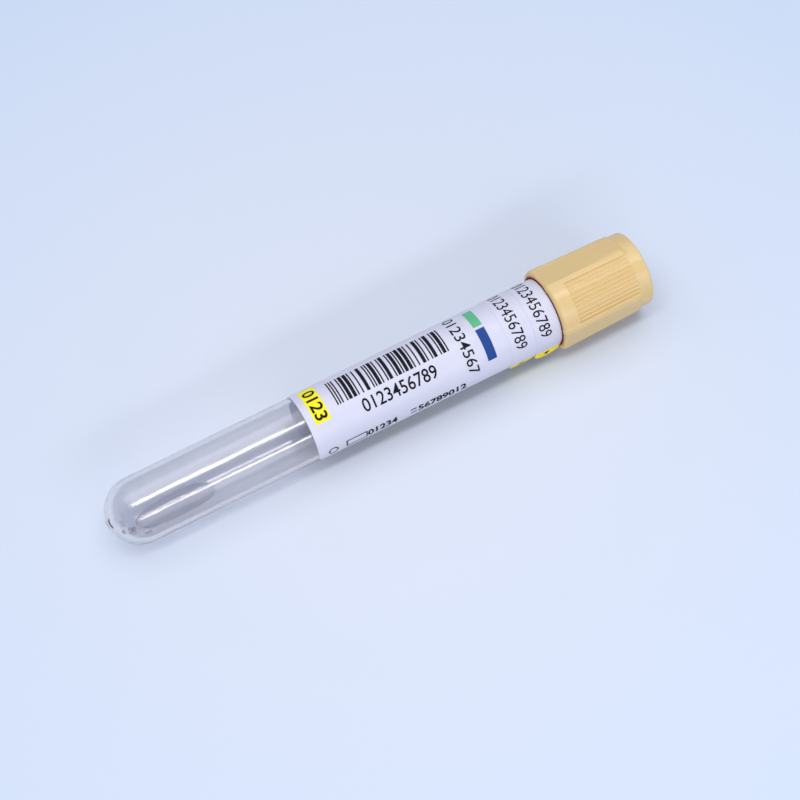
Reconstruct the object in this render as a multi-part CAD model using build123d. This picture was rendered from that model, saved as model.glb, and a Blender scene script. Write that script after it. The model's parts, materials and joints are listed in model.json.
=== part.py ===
from build123d import *
import os
from math import acos, atan2, cos, degrees, hypot, radians, sin, tan

# A plastic vacuum blood collection tube, 16 mm class, capped and lying on a table.
# Every piece is drawn standing up: the closed end at the origin, the tube's axis along local Z, and
# local X towards the side that ends up on top. The pieces are then laid down together along +X,
# resting on the round foot and on the cap's collar. Millimetres and degrees throughout.
# A bearing is an angle about the tube's axis, from the top (0) towards the front side, which is -Y.

# Tube
tube_length = 125.0
foot_radius = 7.6  # of the round closed end
wall = 1.05
foot_thickness = 1.6  # at the very end, where the plastic enters the mould
draft = 0.15  # the tube widens a little towards its mouth, inside and outside
mouth_round = 0.35
gate_radius = 1.3  # shallow dimple at the moulding point
gate_depth = 0.25

# Label and its two peel-off strips, all cut from one film
glue_line = 0.03  # between the film and the tube
film_thickness = 0.1
label_length = 48.6
label_short = 0.1  # the outer strip ends this far below the cap's rim
window_width = 12.2  # left clear along the tube, between the film's long edges
label_corner = 1.8
label_edge_bearing = 109.0  # the long edge on the front side
strip_width = 6.4
strip_cut = 0.04  # left by the die between neighbours
tab_reach = 5.1  # a strip's tab goes this far past the label's long edge
tab_lift_bearings = (111.0, 103.0)  # from here each strip's end isn't stuck down, and goes straight on

# Cap: a stiff shell, open at both ends, clipped round the stopper's head
skirt_overlap = 16.2  # how far the skirt comes down over the tube
skirt_gap = 0.42  # between the skirt's rim and the film
skirt_draft = 0.6  # the skirt's bore narrows upwards
skirt_wall = 1.25  # at the rim
cap_length = 23.7
cap_draft = 1.2  # outside
collar_length = 4.1
band_length = 3.2  # of the smooth band at the top; the grip takes up the rest
band_wall = 0.62
band_round = 0.55
grip_slope = 0.5  # the grip's top end slopes in to the band above it
rim_round = 1.05
head_room = 0.3  # the head's bore starts this far above the tube's mouth
lip_thickness = 0.8  # the lip sits in the stopper's waist
lip_overhang = 0.7
lip_drop = 0.6  # from the cap's top down to the lip

# The grip's pattern, three times round: a panel of fine ribs between two wide ribs, then a flat
panels = 3
panel_depth = 0.3
fine_ribs = 10
fine_pitch = 5.9
fine_width = 0.46
fine_round = 0.18
fine_shy = 0.04  # a fine rib stops this far below the collar's surface
wide_bearing = 35.6  # each side of a panel's middle
wide_width = 1.45
wide_round = 0.25
wide_proud = 0.1
wide_past = 0.6  # a wide rib slopes out on to the band this far past the grip
flat_step = 0.04  # the flat is this much deeper along the grip than on the collar
flat_sunk = 0.05  # the flat meets the band this far below the band's surface

# Stopper
fit = 0.05  # radial clearance in the cap and in the tube
plug_length = 13.0
plug_relief = 0.3  # the plug's body stands this far inside its sealing rings
ring_length = 1.5
ring_stations = (1.6, 6.0, 10.4)  # from the tube's mouth down to each ring's middle
plug_round = 0.5
recess_radius = 3.0  # of the hollow in the plug's end, which tapers
recess_top_radius = 2.2
recess_depth = 5.5
button_proud = 0.15  # the button above the cap's top
button_round = 0.3
dish_radius = 3.2  # where the needle goes in
dish_depth = 0.3
nub_radius = 0.75
nub_height = 0.4
nub_offset = 5.2
nub_bearing = 250.0

# Liquid: a few drops of additive, lying in the lowest part of the tube
liquid_gap = 0.03
liquid_half_angle = 31.0  # of its width, seen along the tube, where the foot's curve ends
liquid_reach = 25.0  # its rounded front, from the closed end
liquid_start = 4.0
liquid_spare = 0.4  # the rounded front is this much wider than the liquid at its deepest

past = 1.0  # a cutting tool reaches this far past what it cuts

# Worked out from the values above
cap_rim = tube_length - skirt_overlap
cap_top = cap_rim + cap_length
grip_start = cap_rim + collar_length
grip_end = cap_top - band_length
head_start = tube_length + head_room
lip_top = cap_top - lip_drop
lip_under = lip_top - lip_thickness
label_start = cap_rim - label_short - 2 * strip_width - label_length


def outer_radius(station, inset=0.0):
    """The tube's outside wall, or a surface inside it by inset."""
    return (foot_radius - inset) / cos(radians(draft)) + (station - foot_radius) * tan(radians(draft))


film_outer = outer_radius(cap_rim) + glue_line + film_thickness
skirt_bore = film_outer + skirt_gap
head_bore = skirt_bore - (head_start - cap_rim) * tan(radians(skirt_draft))
lip_bore = head_bore - lip_overhang
collar_radius = skirt_bore + skirt_wall
band_radius = head_bore + band_wall
half_wide = degrees(wide_width / 2 / collar_radius)
flat_half_angle = 180 / panels - wide_bearing - half_wide
wide_radius = collar_radius + wide_proud


def rib_stop_angle():
    """How far round from the lowest line a wide rib's middle is, when its edge just meets the table."""
    reach = hypot(wide_radius - wide_round, wide_width / 2 - wide_round)
    corner = atan2(wide_width / 2 - wide_round, wide_radius - wide_round)
    return degrees(corner + acos((collar_radius - wide_round) / reach))


# The cap has rolled until a wide rib, one panel further round, meets the table
panel_bearing = 180 + rib_stop_angle() - wide_bearing - 360 / panels


def cap_radius(station):
    """The cap's outside along the collar and the grip."""
    return collar_radius - (station - cap_rim) * tan(radians(cap_draft))


def arc_points(middle, radius, first, last):
    """Start, middle and end of an arc about a point of the section (radius, station)."""
    angles = (first, (first + last) / 2, last)
    return [(middle[0] + radius * cos(radians(a)), middle[1] + radius * sin(radians(a))) for a in angles]


def turned(section):
    """A solid of revolution from a closed section of (radius, station)."""
    return revolve(Plane.XZ * section, axis=Axis.Z)


def turned_outline(*points):
    return turned(make_face(Polyline(*points, close=True)))


def round_bottomed(inset, bottom, top):
    """The space inside the tube's outside wall less inset, from a round bottom up to a flat top."""
    lean = sin(radians(draft))
    middle = (bottom + foot_radius - inset - foot_radius * lean) / (1 - lean)
    radius = middle - bottom
    bowl = arc_points((0, middle), radius, -90, -draft)
    corner = (outer_radius(top, inset), top)
    outline = ThreePointArc(*bowl) + Polyline(bowl[2], corner, (0, top), bowl[0])
    return turned(make_face(outline))


def make_tube():
    body = round_bottomed(0, 0, tube_length)
    body -= round_bottomed(wall, foot_thickness, tube_length + past)
    body = fillet(body.edges().filter_by(GeomType.CIRCLE).group_by(Axis.Z)[-1], mouth_round)
    dimple = (gate_radius**2 + gate_depth**2) / (2 * gate_depth)
    return body - Pos(0, 0, gate_depth - dimple) * Sphere(dimple)


def film_section(start, length):
    """The film's cross-section along the tube."""
    low = outer_radius(start) + glue_line
    high = outer_radius(start + length) + glue_line
    section = Polyline(
        (low, start),
        (low + film_thickness, start),
        (high + film_thickness, start + length),
        (high, start + length),
        close=True,
    )
    return Plane.XZ * make_face(section)


def make_film(start, length, first_bearing, last_bearing):
    """A piece of film wrapped on the tube, from one bearing round to another."""
    wrap = revolve(film_section(start, length), axis=Axis.Z, revolution_arc=last_bearing - first_bearing)
    return Rot(0, 0, first_bearing) * wrap


def rounded_off(film, bearing, station, radius, side, upwards):
    """The film with one corner rounded: its long edge is at a bearing and its end at a station.

    side is 1 where the edge is the film's last bearing and -1 where it is the first; upwards is 1 where
    the film goes up from the station and -1 where it goes down.
    """
    spare = radius / 2
    corner = Pos(side * (spare - radius) / 2, upwards * (radius - spare) / 2)
    corner *= Rectangle(radius + spare, radius + spare)
    corner -= Pos(-side * radius, upwards * radius) * Circle(radius)
    return film - Rot(0, 0, bearing) * Pos(0, 0, station) * extrude(Plane.YZ * corner, amount=2 * film_outer)


def far_edge_bearing():
    """The long edge shared by the label and its strips, on the far side of the clear window."""
    return label_edge_bearing + degrees(window_width / film_outer) - 360


def make_label():
    film = make_film(label_start, label_length, far_edge_bearing(), label_edge_bearing)
    film = rounded_off(film, label_edge_bearing, label_start, label_corner, 1, 1)
    return rounded_off(film, far_edge_bearing(), label_start, label_corner, -1, 1)


def make_strip(place):
    """A peel-off strip: place 0 is beside the label and place 1 next to the cap."""
    start = label_start + label_length + place * strip_width + strip_cut
    width = strip_width - strip_cut
    lift = tab_lift_bearings[place]
    reach = tab_reach + radians(label_edge_bearing - lift) * film_outer
    tab = extrude(film_section(start, width), amount=-reach)
    straight = reach - width / 2
    outline = Pos(straight, start + width / 2) * Circle(width / 2)
    outline += Pos((straight - past) / 2, start + width / 2) * Rectangle(straight + past, width)
    tab &= extrude(Plane.YZ * outline, amount=2 * film_outer)
    return make_film(start, width, far_edge_bearing(), lift) + Rot(0, 0, lift) * tab


def cap_outline(proud, stop):
    """The outside line of the collar and grip, proud of it by an amount, up to a station."""
    base = (cap_radius(cap_rim) - rim_round, cap_rim + rim_round)
    rim = arc_points(base, rim_round + proud, -90, -cap_draft)
    top = (cap_radius(stop) + proud, stop)
    return rim, top


def make_rib(width, edge_round, proud, start, bearing):
    """A rib with rounded edges and a sloping end; start None is over the rim and out on to the band."""
    core = (skirt_bore + collar_radius - rim_round) / 2
    crest_end = (cap_radius(grip_end) + proud, grip_end - grip_slope - proud)
    slope_top = (core, grip_end)
    if start is None:
        rim, _ = cap_outline(proud, grip_end)
        tip = (band_radius, grip_end + wide_past)
        root = (core, tip[1])
        outline = ThreePointArc(*rim) + Polyline(rim[2], crest_end, tip, root, (core, rim[0][1]), rim[0])
    else:
        foot = (cap_radius(start) + proud, start)
        outline = Polyline((core, start), foot, crest_end, slope_top, close=True)
    rib = extrude(Plane.XZ * make_face(outline), amount=width / 2, both=True)

    def along_crest(edge):
        level = abs((edge @ 0).Y - (edge @ 1).Y) < edge_round
        return level and (edge @ 0.5).X > core + edge_round and edge.length > 2 * edge_round

    return Rot(0, 0, bearing) * fillet(rib.edges().filter_by(along_crest), edge_round)


def make_cap():
    rim, grip_top = cap_outline(0, grip_end - grip_slope)
    outline = ThreePointArc(*rim) + Polyline(
        rim[2],
        grip_top,
        (band_radius, grip_end),
        (band_radius, cap_top),
        (head_bore, cap_top),
        (head_bore, lip_top),
        (lip_bore, lip_top),
        (lip_bore, lip_under),
        (head_bore, lip_under),
        (head_bore, head_start),
        (skirt_bore, cap_rim),
        rim[0],
    )
    shell = turned(make_face(outline))
    top_edge = shell.edges().filter_by(GeomType.CIRCLE).group_by(Axis.Z)[-1].sort_by(SortBy.LENGTH)[-1]
    shell = fillet(top_edge, band_round)

    floor = [(cap_radius(z) - panel_depth, z) for z in (grip_start, grip_end)]
    outside = collar_radius + past
    recess = make_face(Polyline(*floor, (outside, grip_end), (outside, grip_start), close=True))
    half_panel = wide_bearing - half_wide
    recess = revolve(Plane.XZ * recess, axis=Axis.Z, revolution_arc=2 * half_panel)
    cuts = []
    ribs = []
    for panel in range(panels):
        middle = panel_bearing + panel * 360 / panels
        cuts.append(Rot(0, 0, middle - half_panel) * recess)
        cuts += [Rot(0, 0, middle + 180 / panels) * cut for cut in flat_cuts()]
        for side in (-1, 1):
            ribs.append(make_rib(wide_width, wide_round, wide_proud, None, middle + side * wide_bearing))
        for number in range(fine_ribs):
            bearing = middle + (number - (fine_ribs - 1) / 2) * fine_pitch
            ribs.append(make_rib(fine_width, fine_round, -fine_shy, grip_start - fine_round, bearing))
    return shell.cut(*cuts).fuse(*ribs)


def flat_cuts():
    """The flat between two panels, on +X: along the collar, and from the grip's start out to the band."""
    collar = [(cap_radius(z) * cos(radians(flat_half_angle)), z) for z in (cap_rim, grip_start)]
    grip = [(collar[1][0] - flat_step, grip_start), (band_radius - flat_sunk, grip_end)]
    outside = collar_radius + past
    cuts = []
    for low, high in (collar, grip):
        outline = Polyline(low, high, (outside, high[1]), (outside, low[1]), close=True)
        cuts.append(extrude(Plane.XZ * make_face(outline), amount=collar_radius, both=True))
    return cuts


def make_stopper():
    plug_end = tube_length - plug_length
    seal = outer_radius(plug_end, wall) - fit
    body = seal - plug_relief
    head = head_bore - fit
    waist = lip_bore - fit
    button = head - fit
    stopper = turned_outline(
        (0, plug_end),
        (body, plug_end),
        (body, tube_length),
        (head, tube_length),
        (head, lip_under - fit),
        (waist, lip_under - fit),
        (waist, lip_top),
        (button, lip_top),
        (button, cap_top + button_proud),
        (0, cap_top + button_proud),
    )
    circles = stopper.edges().filter_by(GeomType.CIRCLE).group_by(Axis.Z)
    stopper = fillet(circles[0], plug_round)
    circles = stopper.edges().filter_by(GeomType.CIRCLE).group_by(Axis.Z)
    stopper = fillet(circles[-1], button_round)
    for depth in ring_stations:
        ring = Pos(0, 0, tube_length - depth) * Cylinder(seal, ring_length)
        stopper += fillet(ring.edges().filter_by(GeomType.CIRCLE), 0.9 * plug_relief)
    standing = (Align.CENTER, Align.CENTER, Align.MIN)
    stopper -= Pos(0, 0, plug_end) * Cone(recess_radius, recess_top_radius, recess_depth, align=standing)
    dish = (dish_radius**2 + dish_depth**2) / (2 * dish_depth)
    stopper -= Pos(0, 0, cap_top + button_proud - dish_depth + dish) * Sphere(dish)
    nub = Cylinder(nub_radius, 2 * nub_height, align=standing)
    nub = fillet(nub.edges().group_by(Axis.Z)[-1], nub_height / 2)
    return stopper + Rot(0, 0, nub_bearing) * Pos(nub_offset, 0, cap_top + button_proud - nub_height) * nub


def lying_plane():
    """Where the standing frame goes: laid down until the foot and the cap's collar both touch z = 0."""
    # Seen from the side, the table is the common tangent of the foot's ball and the rim's rounding
    along = cap_rim + rim_round - foot_radius
    down = collar_radius - rim_round
    tilt = acos((foot_radius - rim_round) / hypot(along, down)) - atan2(along, down)
    axis = Vector(cos(tilt), 0, sin(tilt))
    upward = Vector(-sin(tilt), 0, cos(tilt))
    half_span = (cap_top + button_proud + nub_height) * cos(tilt) / 2
    foot = Vector(-half_span, 0, foot_radius * (1 - sin(tilt)))
    return Plane(origin=foot, x_dir=upward, z_dir=axis), degrees(tilt)


def make_liquid(lie):
    """What lies in the foot below a level surface, with a rounded front, drawn where it lies."""
    inside = lie.location * round_bottomed(wall + liquid_gap, foot_thickness + liquid_gap, tube_length)
    bore = outer_radius(foot_radius, wall)
    level = foot_radius - bore * cos(radians(liquid_half_angle))
    width = 2 * bore * sin(radians(liquid_half_angle)) + liquid_spare
    middle = lie.origin.X + (liquid_start + liquid_reach) / 2
    pond = Pos(middle, 0, 0) * SlotOverall(liquid_reach - liquid_start, width)
    return inside & extrude(pond, amount=level)


lie, tilt = lying_plane()
pieces = {
    "tube": make_tube(),
    "label": make_label(),
    "peel_strip_inner": make_strip(0),
    "peel_strip_outer": make_strip(1),
    "stopper": make_stopper(),
    "cap": make_cap(),
}
pieces = {name: lie.location * piece for name, piece in pieces.items()}
pieces["liquid"] = make_liquid(lie)

os.makedirs("parts", exist_ok=True)
for name, piece in pieces.items():
    export_step(piece, f"parts/{name}.step")
    box = piece.bounding_box()
    print(f"{name}: {piece.volume:.1f} mm3, x {box.min.X:.2f} to {box.max.X:.2f}, z {box.min.Z:.3f}")
print(f"tilt {tilt:.3f}, lowest-line rib {rib_stop_angle():.2f}, panel bearing {panel_bearing:.2f}")
print(f"collar radius {collar_radius:.3f}, band {band_radius:.3f}, foot at {lie.origin}")
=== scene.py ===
import json
import random
from math import asin, ceil, cos, pi, radians, sin, sqrt, tan

import bmesh
import bpy
from mathutils import Matrix, Vector


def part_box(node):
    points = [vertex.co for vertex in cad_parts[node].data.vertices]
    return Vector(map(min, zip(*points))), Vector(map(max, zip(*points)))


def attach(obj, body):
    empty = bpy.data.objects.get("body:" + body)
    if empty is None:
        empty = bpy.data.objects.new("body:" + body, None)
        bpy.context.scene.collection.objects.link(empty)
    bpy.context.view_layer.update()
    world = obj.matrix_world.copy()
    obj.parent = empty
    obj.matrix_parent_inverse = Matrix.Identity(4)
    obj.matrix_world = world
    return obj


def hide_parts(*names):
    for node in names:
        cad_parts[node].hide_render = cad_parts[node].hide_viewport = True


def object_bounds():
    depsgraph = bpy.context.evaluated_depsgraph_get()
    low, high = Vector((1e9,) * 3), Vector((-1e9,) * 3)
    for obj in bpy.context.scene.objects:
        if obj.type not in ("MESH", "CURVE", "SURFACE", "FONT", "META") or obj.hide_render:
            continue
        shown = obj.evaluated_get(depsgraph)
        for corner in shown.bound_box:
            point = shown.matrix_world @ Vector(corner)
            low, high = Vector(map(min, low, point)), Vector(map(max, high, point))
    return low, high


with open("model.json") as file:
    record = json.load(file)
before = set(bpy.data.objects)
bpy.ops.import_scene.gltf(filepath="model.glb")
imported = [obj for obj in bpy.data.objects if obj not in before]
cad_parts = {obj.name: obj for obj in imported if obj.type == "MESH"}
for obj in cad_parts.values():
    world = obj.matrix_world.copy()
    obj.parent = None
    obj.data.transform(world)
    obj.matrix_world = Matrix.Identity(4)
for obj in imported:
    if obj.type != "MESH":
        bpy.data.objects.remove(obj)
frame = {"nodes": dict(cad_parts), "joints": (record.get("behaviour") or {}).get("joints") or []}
cad_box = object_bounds()


# ---- Tube ----------------------------------------------------------------------------------------
# Clear PET, injection moulded in one shot: a round closed end with the gate's dimple, a slight draft
# and a rounded mouth. Everything else is wrapped round it, plugged into it or lies inside it.

MM = 0.001
tube_length = 125 * MM
foot_radius = 7.6 * MM
wall = 1.05 * MM
foot_thickness = 1.6 * MM
draft = radians(0.15)
mouth_round = 0.35 * MM
gate_radius = 1.3 * MM
gate_depth = 0.25 * MM


def wall_radius(station, inset=0.0):
    """The tube's outside wall, or a surface inside it by inset, at a distance from the closed end."""
    return (foot_radius - inset) / cos(draft) + (station - foot_radius) * tan(draft)


# The tube lies along the axis on which its closure comes off, and ends where the CAD tube does
closure_pull = next(joint for joint in frame["joints"] if joint["name"] == "closure_pull")
axis = Vector(closure_pull["axis"]).normalized()
upward = Vector((-axis.z, 0, axis.x))
frontward = Vector((0, -1, 0))
tube_points = [v.co for v in frame["nodes"]["tube"].data.vertices]
mouth_along = max(point.dot(axis) for point in tube_points)
highest = max(point.dot(upward) for point in tube_points)
axis_up = highest - wall_radius(tube_length - mouth_round)
foot_point = axis * (mouth_along - tube_length) + upward * axis_up


def around(radius, bearing, station):
    """A point by its distance from the axis, its bearing from the top to the front, and its station."""
    outward = upward * cos(bearing) + frontward * sin(bearing)
    return foot_point + axis * station + outward * radius


def placed(name, mesh):
    """A new object from a bmesh, with smooth faces and sharp edges where they meet steeply."""
    data = bpy.data.meshes.new(name)
    bmesh.ops.recalc_face_normals(mesh, faces=mesh.faces)
    mesh.to_mesh(data)
    mesh.free()
    data.polygons.foreach_set("use_smooth", [True] * len(data.polygons))
    data.set_sharp_from_angle(angle=radians(40))
    piece = bpy.data.objects.new(name, data)
    bpy.context.scene.collection.objects.link(piece)
    return piece


def joined_rings(name, rings, flat_ends=False):
    """A closed skin through a row of rings, each a list of points; a ring of one point is a pole."""
    mesh = bmesh.new()
    rows = [[mesh.verts.new(point) for point in ring] for ring in rings]
    for low, high in zip(rows, rows[1:]):
        count = max(len(low), len(high))
        for i in range(count):
            j = (i + 1) % count
            if len(low) == 1:
                corners = (low[0], high[j], high[i])
            elif len(high) == 1:
                corners = (low[i], low[j], high[0])
            else:
                corners = (low[i], low[j], high[j], high[i])
            mesh.faces.new(corners)
    if flat_ends:
        mesh.faces.new(rows[0])
        mesh.faces.new(rows[-1])
    return placed(name, mesh)


def arc(middle, radius, first, last, steps):
    """Points (radius, station) on an arc of the section, from one angle to another."""
    turns = [first + (last - first) * i / steps for i in range(steps + 1)]
    return [(middle[0] + radius * cos(a), middle[1] + radius * sin(a)) for a in turns]


def bowl(inset, bottom):
    """The round end of the tube's outside or inside: its middle's station and its radius."""
    lean = sin(draft)
    middle = (bottom + foot_radius - inset - foot_radius * lean) / (1 - lean)
    return middle, middle - bottom


def turned(name, section, steps):
    """A piece turned about the tube's axis from a section of (radius, station)."""
    rings = []
    for radius, station in section:
        count = 1 if radius < 0.001 * MM else steps
        rings.append([around(radius, 2 * pi * i / steps, station) for i in range(count)])
    return joined_rings(name, rings)


class Wire:
    """A node's output. Arithmetic on it adds Math nodes, so that a mask reads as a sum."""

    def __init__(self, finish, socket):
        self.finish = finish
        self.socket = socket

    def math(self, operation, *values):
        return self.finish.node("Math", {"operation": operation}, dict(enumerate(values)))

    def __add__(self, other):
        return self.math("ADD", self, other)

    def __mul__(self, other):
        return self.math("MULTIPLY", self, other)

    def __rsub__(self, other):
        return self.math("SUBTRACT", other, self)

    __radd__ = __add__
    __rmul__ = __mul__


class Finish:
    """A material, or the world, built node by node."""

    def __init__(self, name, block=None):
        self.block = block or bpy.data.materials.new(name)
        self.block.use_nodes = True
        self.tree = self.block.node_tree
        self.tree.nodes.clear()

    def node(self, kind, settings=None, sockets=None, output=0):
        """Any node: its type, its settings (a ramp's stops among them), and its sockets' values or links."""
        made = self.tree.nodes.new("ShaderNode" + kind)
        for name, value in (settings or {}).items():
            if name == "stops":
                ramp = made.color_ramp.elements
                while len(ramp) < len(value):
                    ramp.new(1)
                for element, (place, colour) in zip(ramp, value):
                    element.position = place
                    element.color = colour
            else:
                setattr(made, name, value)
        for name, value in (sockets or {}).items():
            if isinstance(value, Wire):
                self.tree.links.new(value.socket, made.inputs[name])
            else:
                made.inputs[name].default_value = value
        return Wire(self, made.outputs[output])

    def noise(self, size, detail=2, stretch=(1, 1, 1)):
        """Noise from 0 to 1 with features size millimetres across, longer where stretch is under 1."""
        here = self.node("TexCoord", output="Object")
        scale = tuple(s / MM for s in stretch)
        place = self.node("Mapping", {}, {"Vector": here, "Scale": scale})
        return self.node("TexNoise", {}, {"Vector": place, "Scale": 1 / size, "Detail": detail})

    def mixed(self, share, first, second):
        """One colour turning into another as the share goes from 0 to 1."""
        stops = [(0.0, (*first, 1)), (1.0, (*second, 1))]
        return self.node("ValToRGB", {"stops": stops}, {"Fac": share})

    def blend(self, share, first, second):
        """Two colours blended by a share. A Mix node has its colours in sockets 6 and 7."""
        return self.node("Mix", {"data_type": "RGBA"}, {"Factor": share, 6: first, 7: second}, output=2)

    def bump(self, height, depth):
        """Relief of a depth in millimetres from a height between 0 and 1."""
        return self.node("Bump", {}, {"Height": height, "Distance": depth * MM, "Strength": 1.0})

    def below(self, value, edge, fade):
        """1 where a value is a fade or more below an edge, going to 0 at the edge and above it."""
        return self.node("Clamp", {}, {"Value": (edge - value) * (1 / fade)})

    def shader(self, **sockets):
        """A Principled shader, whose sockets are given with _ for a space."""
        return self.node("BsdfPrincipled", {}, {name.replace("_", " "): v for name, v in sockets.items()})

    def lit_under(self, shader, tint, share):
        """The shader, letting a share of the lamps' light through to what lies under it."""
        way_through = self.node("BsdfTransparent", {}, {"Color": (*tint, 1)})
        fac = share * self.node("LightPath", output="Is Shadow Ray")
        return self.node("MixShader", {}, {"Fac": fac, 1: shader, 2: way_through})

    def backlit(self, shader, tint, share, relief):
        """The shader, a share of which glows with the light that falls on its other side."""
        glow = self.node("BsdfTranslucent", {}, {"Color": (*tint, 1), "Normal": relief})
        return self.node("MixShader", {}, {"Fac": share, 1: shader, 2: glow})

    def ended(self, shader, kind="Material"):
        """The finished block, with the shader as its surface."""
        last = self.tree.nodes.new("ShaderNodeOutput" + kind)
        self.tree.links.new(shader.socket, last.inputs["Surface"])
        return self.block


def dressed(piece, material, body):
    """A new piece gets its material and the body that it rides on."""
    piece.data.materials.append(material)
    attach(piece, body)
    return piece


outer_middle, outer_bowl = bowl(0, 0)
inner_middle, inner_bowl = bowl(wall, foot_thickness)
gate_ball = (gate_radius**2 + gate_depth**2) / (2 * gate_depth)
gate_edge = asin(gate_radius / gate_ball)
lip_station = tube_length - mouth_round
mouth_outside = (wall_radius(lip_station) - mouth_round, lip_station)
mouth_inside = (wall_radius(lip_station, wall) + mouth_round, lip_station)
wall_stations = [foot_radius + (lip_station - foot_radius) * i / 24 for i in range(1, 24)]

section = arc((0, gate_depth - gate_ball), gate_ball, pi / 2, pi / 2 - gate_edge, 8)[:-1]
foot = arc((0, outer_middle), outer_bowl, -pi / 2, -draft, 60)
section += [point for point in foot if point[0] > gate_radius]
section += [(wall_radius(s), s) for s in wall_stations]
section += arc(mouth_outside, mouth_round, 0, pi / 2, 6)
section += arc(mouth_inside, mouth_round, pi / 2, pi, 6)
section += [(wall_radius(s, wall), s) for s in reversed(wall_stations)]
section += arc((0, inner_middle), inner_bowl, -draft, -pi / 2, 48)
tube = turned("clear_tube", section, 160)

clear = Finish("clear_plastic")
draw_lines = clear.noise(0.45, 2, (0.015, 1, 1))
sinks = clear.noise(7, 1, (0.5, 1, 1))
solid_plastic = clear.shader(
    Base_Color=clear.mixed(sinks, (0.85, 0.825, 0.825), (0.895, 0.87, 0.87)),
    Roughness=0.015 + 0.03 * draw_lines,
    IOR=1.57,
    Transmission_Weight=1.0,
    Normal=clear.bump(0.25 * draw_lines + sinks, 0.03),
)
clear_plastic = clear.ended(clear.lit_under(solid_plastic, (0.93, 0.925, 0.945), 0.75))
dressed(tube, clear_plastic, "tube_body")
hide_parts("tube")


# ---- Additive ------------------------------------------------------------------------------------
# A few drops of clear watery liquid, lying in the lowest part of the closed end. Its front is rounded
# and its edge curves down to the wall. It wets the plastic, so no air lies between them.

pool_low, pool_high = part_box("liquid")
pool_level = pool_high.z
pool_start = pool_low.x + 0.5 * MM
pool_front = pool_high.x
pool_half_width = pool_high.y - 0.05 * MM
pool_edge = 0.7 * MM  # over which its surface curves down
pool_skin = 0.02 * MM  # its least depth
wetting = 0.02 * MM  # it reaches this far into the wall


def inside_below(x, y):
    """The height of the tube's inside wall under a point, just inside the plastic."""
    on_axis = foot_point.z + (x - foot_point.x) * axis.z / axis.x
    station = (x - foot_point.x) / axis.x
    for _ in range(4):
        if station >= inner_middle:
            radius = wall_radius(station, wall) + wetting
        else:
            radius = sqrt(max((inner_bowl + wetting) ** 2 - (inner_middle - station) ** 2, MM**2))
        height = on_axis - sqrt(radius**2 - y**2) / axis.x
        station = (Vector((x, y, height)) - foot_point).dot(axis)
    return height


pool_middle = (pool_start + pool_front) / 2
pool_reach = (pool_front - pool_start) / 2
rings = []
for i in range(81):
    turn = pi * i / 80
    x = pool_middle - pool_reach * cos(turn)
    bluntness = 3.2 if turn > pi / 2 else 2.2
    half = pool_half_width * (1 - abs(cos(turn)) ** bluntness) ** 0.5
    if i in (0, 80):
        rings.append([Vector((x, 0, inside_below(x, 0)))])
        continue
    surface = []
    underside = []
    for k in range(41):
        y = -half * cos(pi * k / 40)
        low = inside_below(x, y)
        inward = min(half - abs(y), 1.5 * (pool_reach - abs(x - pool_middle)), pool_edge) / pool_edge
        swell = sqrt(1 - (1 - inward) ** 2)
        surface.append(Vector((x, y, low + max(pool_level - low, pool_skin) * swell)))
        underside.append(Vector((x, y, low)))
    rings.append(surface + underside[-2:0:-1])
additive = joined_rings("additive", rings)

watery = Finish("watery_additive")
swirl = watery.noise(3, 2)
water = watery.shader(
    Base_Color=watery.mixed(swirl, (0.84, 0.83, 0.86), (0.90, 0.89, 0.91)),
    Roughness=0.01 + 0.02 * swirl,
    IOR=1.34,
    Transmission_Weight=1.0,
)
watery_additive = watery.ended(watery.lit_under(water, (0.95, 0.95, 0.96), 0.85))
dressed(additive, watery_additive, "tube_body")
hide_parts("liquid")


# ---- Clinging drops ------------------------------------------------------------------------------
# Small drops of the same liquid, left on the inside of the round foot on the reading side when the
# tube was laid down. Each clings to the plastic on its own.

chance = random.Random(11)
drops = bmesh.new()
for _ in range(9):
    off_pole = radians(chance.uniform(30, 80))
    bearing = radians(chance.uniform(38, 78))
    outward = around(1, bearing, 0) - foot_point
    inward = axis * cos(off_pole) - outward * sin(off_pole)
    size = chance.uniform(0.25, 0.6) * MM
    seat = foot_point + axis * inner_middle - inward * (inner_bowl - 0.3 * size)
    turn = inward.to_track_quat("Z", "Y").to_matrix().to_4x4()
    stretch = Matrix.Diagonal((chance.uniform(1, 1.9) * size, size, 0.75 * size, 1))
    shape = Matrix.Translation(seat) @ turn @ stretch
    bmesh.ops.create_uvsphere(drops, u_segments=20, v_segments=12, radius=1, matrix=shape)
dressed(placed("clinging_drops", drops), watery_additive, "tube_body")


# ---- Label and peel-off strips -------------------------------------------------------------------
# White self-adhesive film wrapped round the tube, die-cut into a label and two strips that peel off.
# Each strip ends in a round tab that isn't stuck down. A clear window is left along the lower side.

glue_line = 0.03 * MM
film_thickness = 0.1 * MM
window_width = 12.2 * MM
label_corner = 1.8 * MM
tab_reach = 5.1 * MM
tab_tip = 0.02 * MM  # half the width of a round tab's last edge
long_edge = radians(109)
tab_lifts = {"inner": radians(111), "outer": radians(103)}


def film_radius(station):
    return wall_radius(station) + glue_line + film_thickness


def stations_of(node):
    """The first and last station of a CAD node."""
    along = [(v.co - foot_point).dot(axis) for v in frame["nodes"][node].data.vertices]
    return min(along), max(along)


# Ways round the tube are lengths from its top line towards the front, laid off at this radius
wrap = film_radius(stations_of("peel_strip_outer")[1])
near_way = long_edge * wrap
far_way = (long_edge - 2 * pi) * wrap + window_width
tab_way = near_way + tab_reach


def on_film(way, station, proud=0.0, lift=None):
    """A point on the film's face or proud of it; past the bearing of its lift, film goes straight on."""
    radius = film_radius(station) + proud
    if lift is None or way <= lift * wrap:
        return around(radius, way / wrap, station)
    straight_on = frontward * cos(lift) - upward * sin(lift)
    return around(radius, lift, station) + straight_on * (way - lift * wrap)


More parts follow.
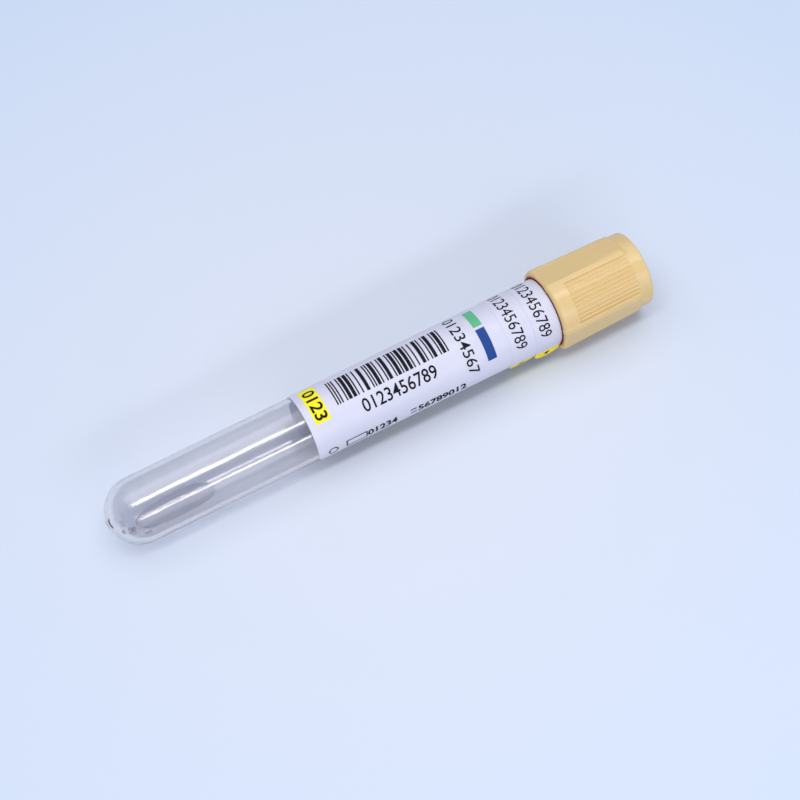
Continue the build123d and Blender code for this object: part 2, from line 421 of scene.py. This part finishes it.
def cut_off(across, radius):
    """How much a rounded corner takes off at a distance from the film's edge."""
    return radius - sqrt(max(across * (2 * radius - across), 0)) if across < radius else 0


def film(name, node, last, far_round, near_round, lift=None):
    """The film of a CAD node as one thin skin, with a corner radius at its far and at its near edge.

    far_round and near_round are pairs: the radius at its low station and at its high station.
    """
    start, end = stations_of(node)
    width = last - far_way
    places = {width * k / 200 for k in range(201)}
    if lift:
        places.add(lift * wrap - far_way)
    for k in range(33):
        bow = 1 - cos(pi / 2 * k / 32)
        places |= {max(far_round) * bow, width - max(near_round) * bow}
    rings = []
    for place in sorted(places):
        pairs = zip(far_round, near_round)
        cuts = [max(cut_off(place, far), cut_off(width - place, near)) for far, near in pairs]
        low = min(start + cuts[0], (start + end) / 2 - tab_tip)
        high = max(end - cuts[1], (start + end) / 2 + tab_tip)
        stations = [low + (high - low) * k / 16 for k in range(17)]
        way = far_way + place
        face = [on_film(way, s, 0, lift) for s in stations]
        back = [on_film(way, s, -film_thickness, lift) for s in reversed(stations)]
        rings.append(face + back)
    piece = joined_rings(name, rings, flat_ends=True)
    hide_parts(node)
    return piece


# Satin, faintly cloudy film that lets light through to the inside of the tube
coat = Finish("white_film")
cloud = coat.noise(9, 3)
skin = coat.noise(0.3, 2)
waves = coat.noise(6, 1, (0.3, 1, 1))
film_relief = coat.bump(0.04 * skin + waves, 0.05)
film_face = coat.shader(
    Base_Color=coat.mixed(cloud, (0.83, 0.82, 0.955), (0.88, 0.87, 0.99)),
    Roughness=0.36 + 0.1 * skin,
    Normal=film_relief,
)
white_film = coat.ended(coat.backlit(film_face, (0.92, 0.92, 0.98), 0.4, film_relief))

label = film("wrapped_label", "label", near_way, (label_corner, 0), (label_corner, 0))
dressed(label, white_film, "tube_body")
for place in ("inner", "outer"):
    start, end = stations_of("peel_strip_" + place)
    tab_round = (end - start) / 2
    strip = film(
        place + "_strip", "peel_strip_" + place, tab_way, (0, 0), (tab_round, tab_round), tab_lifts[place]
    )
    dressed(strip, white_film, "tube_body")


# ---- Print ---------------------------------------------------------------------------------------
# Ribbon ink on the film, a few hundredths of a millimetre thick. All of it is plain: rows of digits,
# bars for one of them, fields of colour, small marks, and an arrow on each strip's yellow tab.

ink_thickness = 0.012 * MM
ink_root = 0.03 * MM  # it reaches this far into the film
reading_side = radians(27)  # the bearing of the middle of the side that shows the bars
ink_black = (0.002, 0.002, 0.008)
tab_yellow = (0.80, 0.66, 0.035)


def printed(name, drawings, colour, layer, lift=None):
    """Flat drawings as ink on the film: their x runs round the tube from the reading side, y along it."""
    mesh = bmesh.new()
    for drawing in drawings:
        mesh.from_mesh(drawing)
    step = 0.3 * MM
    reach = [v.co.x for v in mesh.verts]
    for k in range(ceil(min(reach) / step), ceil(max(reach) / step)):
        everything = mesh.verts[:] + mesh.edges[:] + mesh.faces[:]
        bmesh.ops.bisect_plane(mesh, geom=everything, plane_co=(k * step, 0, 0), plane_no=(1, 0, 0))
    grown = bmesh.ops.extrude_face_region(mesh, geom=mesh.faces[:])["geom"]
    raised = {v for v in grown if isinstance(v, bmesh.types.BMVert)}
    for v in mesh.verts:
        proud = layer * ink_thickness if v in raised else -ink_root
        v.co = on_film(reading_side * wrap + v.co.x, v.co.y, proud, lift)
    piece = placed(name, mesh)
    ink = Finish(name)
    grain = ink.noise(0.1, 2)
    blots = ink.noise(2, 2)
    faded = tuple(min(1.25 * c + 0.006, 1) for c in colour)
    return dressed(piece, ink.ended(ink.shader(
        Base_Color=ink.mixed(0.6 * grain + 0.4 * blots, colour, faded),
        Roughness=0.45 + 0.15 * grain,
        Specular_IOR_Level=0.12,
        Normal=ink.bump(grain, 0.003),
    )), "tube_body")


def drawn(outlines, hole=None):
    """A flat drawing of closed outlines, each a list of (x, y), or of the band between one and its hole."""
    mesh = bmesh.new()
    loops = [[mesh.verts.new((x, y, 0)) for x, y in outline] for outline in outlines]
    if hole is None:
        for loop in loops:
            mesh.faces.new(loop)
    else:
        within = [mesh.verts.new((x, y, 0)) for x, y in hole]
        for i, corner in enumerate(loops[0]):
            mesh.faces.new((corner, within[i], within[i - 1], loops[0][i - 1]))
    drawing = bpy.data.meshes.new("drawing")
    mesh.to_mesh(drawing)
    mesh.free()
    return drawing


def facing(degrees_round):
    """How far round the tube from the reading side an angle is, as a length."""
    return radians(degrees_round) * wrap


def block(low, high, start, end):
    """A rectangle between two angles from the reading side and two stations in millimetres."""
    corners = ((low, start), (high, start), (high, end), (low, end))
    return [(facing(angle), station * MM) for angle, station in corners]


def circle(angle, station, radius):
    turns = [2 * pi * i / 32 for i in range(32)]
    return [(facing(angle) + radius * MM * cos(t), (station + radius * sin(t)) * MM) for t in turns]


def digits(text, height, length, middle_angle, middle_station, round_tube=False, bold=0.0):
    """A row of plain digits of a height and a length in millimetres, along the tube or round it."""
    curve = bpy.data.curves.new("digits", "FONT")
    curve.body = text
    curve.resolution_u = 4
    curve.offset = bold
    row = bpy.data.objects.new("digits", curve)
    bpy.context.scene.collection.objects.link(row)
    bpy.context.view_layer.update()
    drawing = bpy.data.meshes.new_from_object(row)
    bpy.data.objects.remove(row)
    sides = [v.co.x for v in drawing.vertices]
    ups = [v.co.y for v in drawing.vertices]
    drawing.transform(Matrix.Translation((-(max(sides) + min(sides)) / 2, -(max(ups) + min(ups)) / 2, 0)))
    grown = (length * MM / (max(sides) - min(sides)), height * MM / (max(ups) - min(ups)), 1, 1)
    drawing.transform(Matrix.Diagonal(grown))
    drawing.transform(Matrix.Rotation(0 if round_tube else pi / 2, 4, "Z"))
    drawing.transform(Matrix.Translation((facing(middle_angle), middle_station * MM, 0)))
    return drawing


# Interleaved 2-of-5 bars: which two of a digit's five bars, or five gaps, are wide
row = "0123456789"
wide_of = ((2, 3), (0, 4), (1, 4), (0, 1), (2, 4), (0, 2), (1, 2), (3, 4), (0, 3), (1, 3))
narrow_bar = 0.313
wide_bar = 2.5 * narrow_bar
widths = [narrow_bar] * 4
for first in range(0, len(row), 2):
    for k in range(5):
        pair = (int(row[first]), int(row[first + 1]))
        widths += [wide_bar if k in wide_of[digit] else narrow_bar for digit in pair]
widths += [wide_bar, narrow_bar, narrow_bar]
bars = []
station = 55.2
for k, width in enumerate(widths):
    if k % 2 == 0:
        bars.append(block(-60, -10, station, station + width))
    station += width

printed("label_print_black", [
    drawn(bars),
    digits(row, 3.2, 18.3, 9.3, 69.2, bold=0.008),
    digits("0123", 2.9, 8.6, -31, 50.9, True, 0.02),
    digits("01234567", 2.6, 16.5, -14, 86.5, True, 0.004),
    drawn([block(55.5, 73, 54.0, 59.2)], block(57.5, 71, 54.3, 58.9)),
    drawn([circle(65, 50.8, 1.2)], circle(65, 50.8, 0.9)),
    digits("01234", 2.3, 7.4, 64, 63.0, bold=0.03),
    digits("56789012", 2.3, 12.2, 64, 78.0, bold=0.03),
    drawn([block(57, 59.5, 70, 71.5), block(66, 68.5, 70, 71.5)]),
], ink_black, 2)
printed("label_field_yellow", [drawn([block(-72, 4, 49.0, 52.7)])], (0.80, 0.70, 0.02), 1)
printed("label_mark_green", [drawn([block(-68, -26, 90.2, 92.4)])], (0.10, 0.40, 0.22), 1)
printed("label_mark_navy", [drawn([block(-21, 35, 90.2, 92.4)])], (0.012, 0.05, 0.22), 1)

yellow_margin = 0.6 * MM  # white left between the label's long edge and a tab's yellow
ink_shy = 0.02 * MM  # the yellow stops this far inside the tab's cut edge
arrow_outline = ((0, 0), (1.05, -0.95), (1.05, -0.38), (2.1, -0.38), (2.1, 0.38), (1.05, 0.38), (1.05, 0.95))
for place, strip_middle in (("inner", 98.7), ("outer", 105.0)):
    start, end = stations_of("peel_strip_" + place)
    lift = tab_lifts[place]
    middle = (start + end) / 2
    radius = (end - start) / 2 - ink_shy
    line = near_way - reading_side * wrap + yellow_margin
    turn = tab_way - reading_side * wrap - radius - ink_shy
    tab_end = [(turn + radius * sin(pi * i / 32), middle - radius * cos(pi * i / 32)) for i in range(33)]
    tab = [(line, middle - radius), *tab_end, (line, middle + radius)]
    printed(place + "_tab_yellow", [drawn([tab])], tab_yellow, 1, lift)
    arrow = [(line + (1 + x) * MM, middle + y * MM) for x, y in arrow_outline]
    printed(place + "_tab_arrow", [drawn([arrow])], ink_black, 2, lift)
    number = digits(row, 2.8, 17.2, -20, strip_middle, True)
    printed(place + "_strip_digits", [number], ink_black, 2)


# ---- Cap -----------------------------------------------------------------------------------------
# Pale orange-yellow polypropylene, injection moulded in one piece with its ribs, and clipped round the
# stopper's head. Its skin is satin, with faint flow marks along the draw. Inside its skirt the colour is
# painted deep red-orange: painted shade standing in for the light that bounces in the narrow space there.

bore_radius = 8.5 * MM
# Painted shade: the skirt's inside is painted redder in full up to this station, fading out over 4 mm past
# it
painted_shade_end = 114 * MM  # the station up to which the skirt's inside is at its reddest


def recoloured(node, material):
    """A CAD node gets its material in place of the one that it came with."""
    materials = frame["nodes"][node].data.materials
    materials.clear()
    materials.append(material)


shell = Finish("cap_plastic")
flow = shell.noise(5, 2, (0.4, 1, 1))
spark = shell.noise(0.22, 2)
cap_relief = shell.bump(0.1 * spark + flow, 0.02)
here = shell.node("TexCoord", output="Object")
from_foot = shell.node("VectorMath", {"operation": "SUBTRACT"}, {0: here, 1: foot_point})
swept = shell.node("VectorMath", {"operation": "CROSS_PRODUCT"}, {0: from_foot, 1: axis})
off_axis = shell.node("VectorMath", {"operation": "LENGTH"}, {0: swept}, output="Value")
station = shell.node("VectorMath", {"operation": "DOT_PRODUCT"}, {0: from_foot, 1: axis}, output="Value")
# Painted shade: where the bore and the skirt masks meet, the base colour turns deep red-orange in place of
# bounced light
bore_shade_mask = shell.below(off_axis, bore_radius + 0.4 * MM, 0.4 * MM)
skirt_shade_mask = shell.below(station, painted_shade_end + 4 * MM, 4 * MM)
outside = shell.mixed(flow, (0.82, 0.635, 0.3), (0.87, 0.685, 0.34))
cap_skin = shell.shader(
    Base_Color=shell.blend(bore_shade_mask * skirt_shade_mask, outside, (0.6, 0.11, 0.025, 1)),
    Roughness=0.18 + 0.1 * spark,
    IOR=1.49,
    Specular_IOR_Level=0.55,
    Subsurface_Weight=0.3,
    Subsurface_Radius=(1.0, 0.4, 0.15),
    Subsurface_Scale=0.7 * MM,
    Normal=cap_relief,
)
recoloured("cap", shell.ended(shell.backlit(cap_skin, (0.97, 0.5, 0.12), 0.25, cap_relief)))


# ---- Stopper -------------------------------------------------------------------------------------
# Brick-red butyl rubber, compression moulded: a plug in the tube's mouth, and a button in the cap's
# top with a shallow dish where the needle goes in. Its skin is dull, with a fine bloom.

gum = Finish("stopper_rubber")
bloom = gum.noise(1.2, 4)
pores = gum.noise(0.2, 3)
recoloured("stopper", gum.ended(gum.shader(
    Base_Color=gum.mixed(bloom, (0.15, 0.02, 0.012), (0.22, 0.04, 0.026)),
    Roughness=0.5 + 0.2 * pores,
    Normal=gum.bump(0.3 * pores + bloom, 0.03),
)))


# ---- Table and light -----------------------------------------------------------------------------
# A plain pale table in a pale room, painted paler and greyer in the middle and bluer further out as a
# painted pool of light. A broad lamp hangs overhead and a second one fills in from the front; two long
# narrow lamps run with the tube and draw the bright lines along it.

pale_blue = (0.44, 0.61, 0.87)

bpy.ops.mesh.primitive_grid_add(x_subdivisions=8, y_subdivisions=8, size=6)
table = bpy.context.object
table.name = "table"
ground = Finish("pale_table")
speck = ground.noise(60, 2)
here = ground.node("TexCoord", output="Object")
from_light_pool_centre = ground.node("VectorMath", {"operation": "LENGTH"}, {0: here}, output="Value")
table.data.materials.append(ground.ended(ground.shader(
    # Painted pool of light: the colour pales towards the table's middle under the object
    Base_Color=ground.mixed(2.8 * from_light_pool_centre, (0.63, 0.665, 0.77), pale_blue),
    Roughness=0.7 + 0.1 * speck,
)))

# The wall's colour is only what is seen, straight or in the plastic; the light it gives is nearly white
room = Finish("room", bpy.data.worlds.new("room"))
straight, glossy, through = (
    room.node("LightPath", output=f"Is {kind} Ray") for kind in ("Camera", "Glossy", "Transmission")
)
seen = room.node("Clamp", {}, {"Value": straight + glossy + through})
room_light = room.node("Background", {}, {"Color": (0.93, 0.95, 1, 1), "Strength": 0.4})
room_wall = room.node("Background", {}, {"Color": (*pale_blue, 1), "Strength": 0.9})
both = room.node("MixShader", {}, {"Fac": seen, 1: room_light, 2: room_wall})
bpy.context.scene.world = room.ended(both, "World")

centre = (cad_box[0] + cad_box[1]) / 2


def across_view(degrees_back):
    """The direction at an angle from the reading side, about the tube's axis; positive leans to the back."""
    turn = reading_side - radians(degrees_back)
    return upward * cos(turn) + frontward * sin(turn)


def lamp(name, direction, distance, size, power):
    """A soft rectangular lamp that looks at the object, with its long side along the tube."""
    light = bpy.data.lights.new(name, "AREA")
    light.shape = "RECTANGLE"
    light.size, light.size_y = size
    light.energy = power
    piece = bpy.data.objects.new(name, light)
    bpy.context.scene.collection.objects.link(piece)
    back = direction.normalized()
    side = (axis - back * axis.dot(back)).normalized()
    turn = Matrix((side, back.cross(side), back)).transposed().to_4x4()
    piece.matrix_world = Matrix.Translation(centre + back * distance) @ turn


lamp("overhead", Vector((0, 0.2, 1)), distance=1.0, size=(1.4, 1.0), power=5.4)
lamp("front_fill", Vector((0, -1, 0.35)), distance=1.3, size=(1.4, 0.7), power=3.3)
lamp("long_lamp_high", across_view(21.5), distance=0.6, size=(0.6, 0.085), power=1.2)
lamp("long_lamp_low", across_view(-32), distance=0.6, size=(0.5, 0.06), power=0.8)


# ---- Camera --------------------------------------------------------------------------------------
# It looks down on the reading side through a long lens. The tube runs up to the right across the view
# and away from it towards the cap.

tube_leans_away = radians(12.5)
tube_rises = radians(26.1)
camera_distance = 443.85 * MM
aimed_station = 69.78 * MM
focal_length = 90

back = across_view(0) * cos(tube_leans_away) - axis * sin(tube_leans_away)
along_view = (axis - back * axis.dot(back)).normalized()
over_view = back.cross(along_view)
right = along_view * cos(tube_rises) - over_view * sin(tube_rises)
over = along_view * sin(tube_rises) + over_view * cos(tube_rises)
camera = bpy.data.objects.new("camera", bpy.data.cameras.new("camera"))
bpy.context.scene.collection.objects.link(camera)
camera.data.lens = focal_length
camera.data.shift_x = 0.009
camera.data.shift_y = -0.0184
camera.data.clip_start = 10 * MM
turn = Matrix((right, over, back)).transposed().to_4x4()
aimed = foot_point + axis * aimed_station
camera.matrix_world = Matrix.Translation(aimed + back * camera_distance) @ turn
bpy.context.scene.camera = camera
bpy.context.scene.view_settings.view_transform = "Standard"
